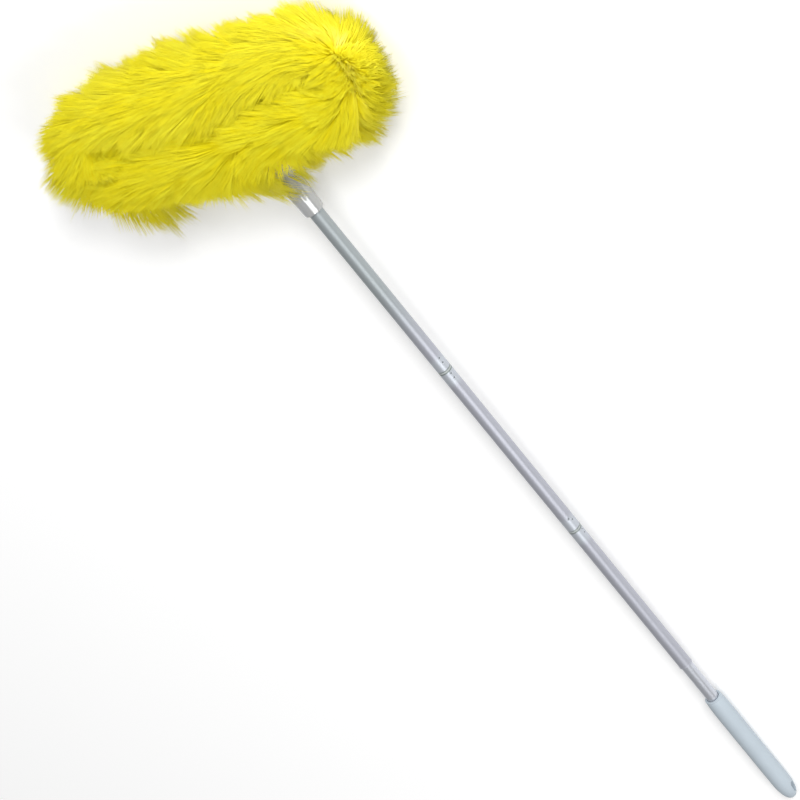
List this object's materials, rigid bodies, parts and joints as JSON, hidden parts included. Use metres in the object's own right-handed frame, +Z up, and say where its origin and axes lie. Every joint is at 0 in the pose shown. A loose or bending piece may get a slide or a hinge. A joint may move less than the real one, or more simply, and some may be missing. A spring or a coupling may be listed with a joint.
{
  "type": "ceiling fan duster",
  "caption": "Long oval brush of yellow fibre on a bent twisted wire, held by a clear ferrule on a grey metal pole that unscrews and telescopes, with a moulded grip and hanging hole.",
  "frame": {"origin": "on the surface that the duster lies on, under the middle of its bounding box", "axes": "+X from the brush to the grip, +Y along the brush, +Z up from the surface that it lies on"},
  "size_m": [1.2018, 0.4222, 0.0897],
  "materials": {
    "yellow_fibre": "soft fibre",
    "galvanised_wire": "satin",
    "clear_plastic": "clear, polished",
    "grey_insert": "moulded",
    "grey_steel": "satin",
    "bright_steel": "bright",
    "grip_plastic": "matte"
  },
  "bodies": {
    "middle_pole": {"middle_tube": "grey_steel", "middle_tube_plug": "grey_insert", "middle_tube_socket": "grey_insert"},
    "upper_pole": {"upper_tube": "grey_steel", "upper_tube_plug": "grey_insert", "upper_tube_socket": "grey_insert"},
    "head": {"ferrule": "clear_plastic", "wire_plug": "grey_insert", "wire_loop": "galvanised_wire", "fibre_far_1": "yellow_fibre", "fibre_far_2": "yellow_fibre", "fibre_far_3": "yellow_fibre", "fibre_far_4": "yellow_fibre", "fibre_near_left_1": "yellow_fibre", "fibre_near_left_2": "yellow_fibre", "fibre_near_right_1": "yellow_fibre", "fibre_near_right_2": "yellow_fibre", "fibre_left_end_1": "yellow_fibre", "fibre_left_end_2": "yellow_fibre", "fibre_left_end_3": "yellow_fibre", "fibre_right_end_1": "yellow_fibre", "fibre_right_end_2": "yellow_fibre", "fibre_right_end_3": "yellow_fibre"},
    "lower_pole": {"lower_tube": "grey_steel", "lower_tube_plug": "grey_insert"},
    "lock": {"lock_collet": "grey_insert"},
    "handle": {"lock_cone": "grey_insert", "inner_tube": "bright_steel", "grip": "grip_plastic"}
  },
  "joints": [
    {"name": "upper_screw", "type": "hinge", "parent": "middle_pole", "child": "upper_pole", "pos_m": [-0.13839, 0.02317, 0.02929], "axis": [-0.9997, 0, 0.0254], "range_deg": [0, 1440]},
    {"name": "head_screw", "type": "hinge", "parent": "upper_pole", "child": "head", "pos_m": [-0.37162, 0.02317, 0.03523], "axis": [-0.9997, 0, 0.0254], "range_deg": [0, 1440]},
    {"name": "lower_screw", "type": "hinge", "parent": "middle_pole", "child": "lower_pole", "pos_m": [0.11593, 0.02317, 0.02282], "axis": [0.9997, 0, -0.0254], "range_deg": [0, 1440]},
    {"name": "telescope", "type": "slide", "parent": "lower_pole", "child": "lock", "axis": [0.9997, 0, -0.0254], "range_m": [-0.058, 0.085]},
    {"name": "twist_lock", "type": "hinge", "parent": "lock", "child": "handle", "pos_m": [0.23399, 0.02317, 0.01981], "axis": [0.9997, 0, -0.0254], "range_deg": [0, 180]}
  ]
}
